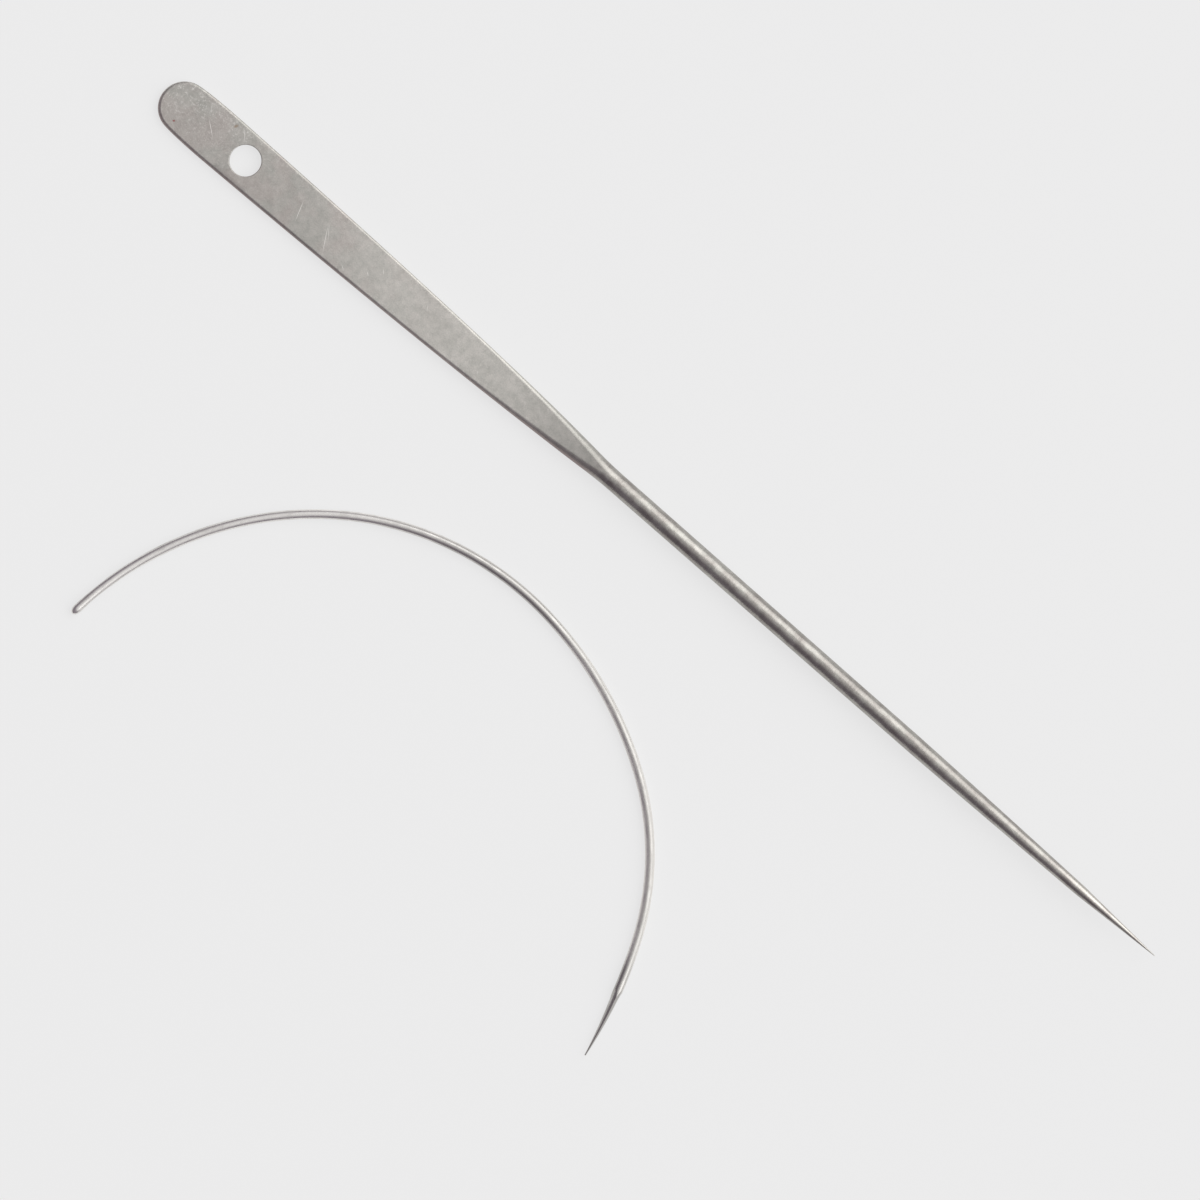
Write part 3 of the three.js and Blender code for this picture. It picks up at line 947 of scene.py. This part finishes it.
def bright_steel():
    """Drawn wire with faint lines along it: lighter near its eye by painted light, matt for a long way
    before its point, with painted light on its inner side there, and painted shade and highlight along its
    outer edge.
    """
    nodes = Nodes("bright_steel")
    grain = nodes.grain()
    along, outward = nodes.parts(grain)[:2]
    clouds = nodes.noise(grain, *WIRE_CLOUDS)
    drawn = nodes.noise(nodes.stretched(grain, DRAWN_STRETCH), *DRAWN_LINES)
    fine = nodes.noise(grain, *WIRE_GRAIN)
    patchy = nodes.range(clouds, *WIRE_PATCHES)
    # Painted light: lighter near the eye, darker further on, in random patches
    darker_share = nodes.math("ADD", nodes.range(along, *DARKER_WIRE_BEGINS, smooth=True), patchy)
    matt = nodes.math("ADD", nodes.range(along, *MATT_BEGINS, smooth=True), patchy)
    matt = nodes.product(matt, nodes.range(along, *MATT_ENDS, smooth=True))
    # Painted light on the matt stretch, lighter towards the inner side
    matt_painted_light = nodes.product(
        nodes.range(outward, *PAINTED_MATT_INNER_LIGHT),
        nodes.range(outward, *PAINTED_MATT_OUTER_LIGHT),
    )
    # Painted shade and highlight along the outer edge
    painted_outer_edge = nodes.product(nodes.range(outward, *PAINTED_OUTER_EDGE), nodes.range(along, *PAINTED_OUTER_EDGE_LIGHT))
    shade = nodes.product(
        nodes.range(drawn, *DRAWN_SHADE),
        nodes.range(fine, *WIRE_GRAIN_SHADE),
        nodes.math("ADD", painted_outer_edge, 1.0),
    )
    colour = nodes.blend(darker_share, BRIGHT_STEEL, DARKER_WIRE_STEEL)
    colour = nodes.blend(matt, colour, nodes.blend(1.0, MATT_WIRE_STEEL, matt_painted_light, "MULTIPLY"))
    colour = nodes.blend(1.0, colour, shade, "MULTIPLY")
    rough = nodes.math("ADD", nodes.range(clouds, *WIRE_ROUGHNESS), nodes.product(matt, MATT_ROUGHNESS))
    normal = nodes.bump(drawn, WIRE_BUMP_DEPTH, DRAWN_BUMP_STRENGTH)
    normal = nodes.bump(fine, WIRE_BUMP_DEPTH, BUMP_STRENGTH, normal)
    return nodes.surface(Base_Color=colour, Metallic=1.0, Roughness=rough, Normal=normal)


# Table, light and camera, in metres and degrees, apart from the sensor, which is in millimetres
FLOOR_SIZE = 12.0
FLOOR_COLOUR = (0.8, 0.8, 0.8)
FLOOR_GLOW_COLOUR = (0.875, 0.875, 0.875)
FLOOR_GLOW_SHARE = 0.8
KEY_AZIMUTH = 14
KEY_ELEVATION = 43
KEY_DISTANCE = 5.2
KEY_SIZE = (8.4, 5.2)
KEY_RADIANCE = 1.18
DARK_SKY = (0.235, 0.21, 0.24)
LIGHT_SKY = (0.95, 0.95, 0.95)
SKY_RANGE = (0.15, 0.9)
CAMERA_FROM_HEAD_END = Vector((100.92, -15.02, 1.0)) * MM
CAMERA_DISTANCE = 4.0
CAMERA_REACH = 50
FRAME_WIDTH = 182.52 * MM
SENSOR_WIDTH = 36.0
PICTURE_RIGHT = Vector((0.75123, 0.66005, 0))
PICTURE_UP = Vector((-0.66005, 0.75123, 0))


def picture_direction(azimuth, elevation):
    """A direction by its azimuth in the picture (0 right, 90 up) and its elevation above the table."""
    flat = PICTURE_RIGHT * math.cos(math.radians(azimuth)) + PICTURE_UP * math.sin(math.radians(azimuth))
    return flat * math.cos(math.radians(elevation)) + Vector((0, 0, math.sin(math.radians(elevation))))


def table():
    """A plain pale table top that keeps the needles' soft shadows."""
    mesh = bmesh.new()
    bmesh.ops.create_grid(mesh, x_segments=1, y_segments=1, size=FLOOR_SIZE / 2)
    data = bpy.data.meshes.new("table_top")
    mesh.to_mesh(data)
    mesh.free()
    top = bpy.data.objects.new("table_top", data)
    bpy.context.collection.objects.link(top)
    nodes = Nodes("pale_table")
    plain = nodes.add("ShaderNodeBsdfDiffuse")
    nodes.fill(plain.inputs["Color"], FLOOR_COLOUR)
    glow = nodes.add("ShaderNodeEmission")
    nodes.fill(glow.inputs["Color"], FLOOR_GLOW_COLOUR)
    path = nodes.add("ShaderNodeLightPath")
    seen = nodes.math("MAXIMUM", path.outputs["Is Camera Ray"], path.outputs["Is Glossy Ray"])
    share = nodes.math("MULTIPLY", seen, FLOOR_GLOW_SHARE)
    both = nodes.add("ShaderNodeMixShader")
    nodes.fill(both.inputs[0], share)
    nodes.tree.links.new(plain.outputs[0], both.inputs[1])
    nodes.tree.links.new(glow.outputs[0], both.inputs[2])
    output = nodes.add("ShaderNodeOutputMaterial")
    nodes.tree.links.new(both.outputs[0], output.inputs["Surface"])
    data.materials.append(nodes.material)


def sky():
    """Soft light from all round, brighter on the key light's side."""
    world = bpy.data.worlds.new("studio")
    bpy.context.scene.world = world
    world.use_nodes = True
    tree = world.node_tree
    tree.nodes.clear()
    place = tree.nodes.new("ShaderNodeTexCoord")
    toward = tree.nodes.new("ShaderNodeVectorMath")
    toward.operation = "DOT_PRODUCT"
    toward.inputs[1].default_value = picture_direction(KEY_AZIMUTH, KEY_ELEVATION)
    rise = tree.nodes.new("ShaderNodeMapRange")
    rise.interpolation_type = "SMOOTHSTEP"
    rise.inputs["From Min"].default_value, rise.inputs["From Max"].default_value = SKY_RANGE
    colour = tree.nodes.new("ShaderNodeMix")
    colour.data_type = "RGBA"
    colour.inputs[MIX_A].default_value = (*DARK_SKY, 1)
    colour.inputs[MIX_B].default_value = (*LIGHT_SKY, 1)
    background = tree.nodes.new("ShaderNodeBackground")
    output = tree.nodes.new("ShaderNodeOutputWorld")
    tree.links.new(place.outputs["Generated"], toward.inputs[0])
    tree.links.new(toward.outputs["Value"], rise.inputs["Value"])
    tree.links.new(rise.outputs[0], colour.inputs[0])
    tree.links.new(colour.outputs[MIX_RESULT], background.inputs["Color"])
    tree.links.new(background.outputs[0], output.inputs["Surface"])


def key_light():
    """One large soft light at the right of the picture."""
    data = bpy.data.lights.new("key_light", "AREA")
    data.shape = "RECTANGLE"
    data.size, data.size_y = KEY_SIZE
    data.energy = KEY_RADIANCE * math.pi * KEY_SIZE[0] * KEY_SIZE[1]
    light = bpy.data.objects.new("key_light", data)
    bpy.context.collection.objects.link(light)
    toward = picture_direction(KEY_AZIMUTH, KEY_ELEVATION)
    light.location = toward * KEY_DISTANCE
    light.rotation_euler = toward.to_track_quat("Z", "Y").to_euler()
    light.visible_camera = False


def camera():
    """Straight down on the table through a long lens, turned as the picture is."""
    data = bpy.data.cameras.new("camera")
    data.sensor_width = SENSOR_WIDTH
    data.lens = SENSOR_WIDTH * CAMERA_DISTANCE / FRAME_WIDTH
    data.clip_end = CAMERA_REACH
    eye = bpy.data.objects.new("camera", data)
    bpy.context.collection.objects.link(eye)
    eye.location = head_end_place() + CAMERA_FROM_HEAD_END + Vector((0, 0, CAMERA_DISTANCE))
    turn = Matrix((PICTURE_RIGHT, PICTURE_UP, Vector((0, 0, 1)))).transposed()
    eye.rotation_euler = turn.to_euler()
    bpy.context.scene.camera = eye


camera()
straight_needle()
curved_needle()
table()
sky()
key_light()
bpy.context.scene.view_settings.view_transform = "Standard"
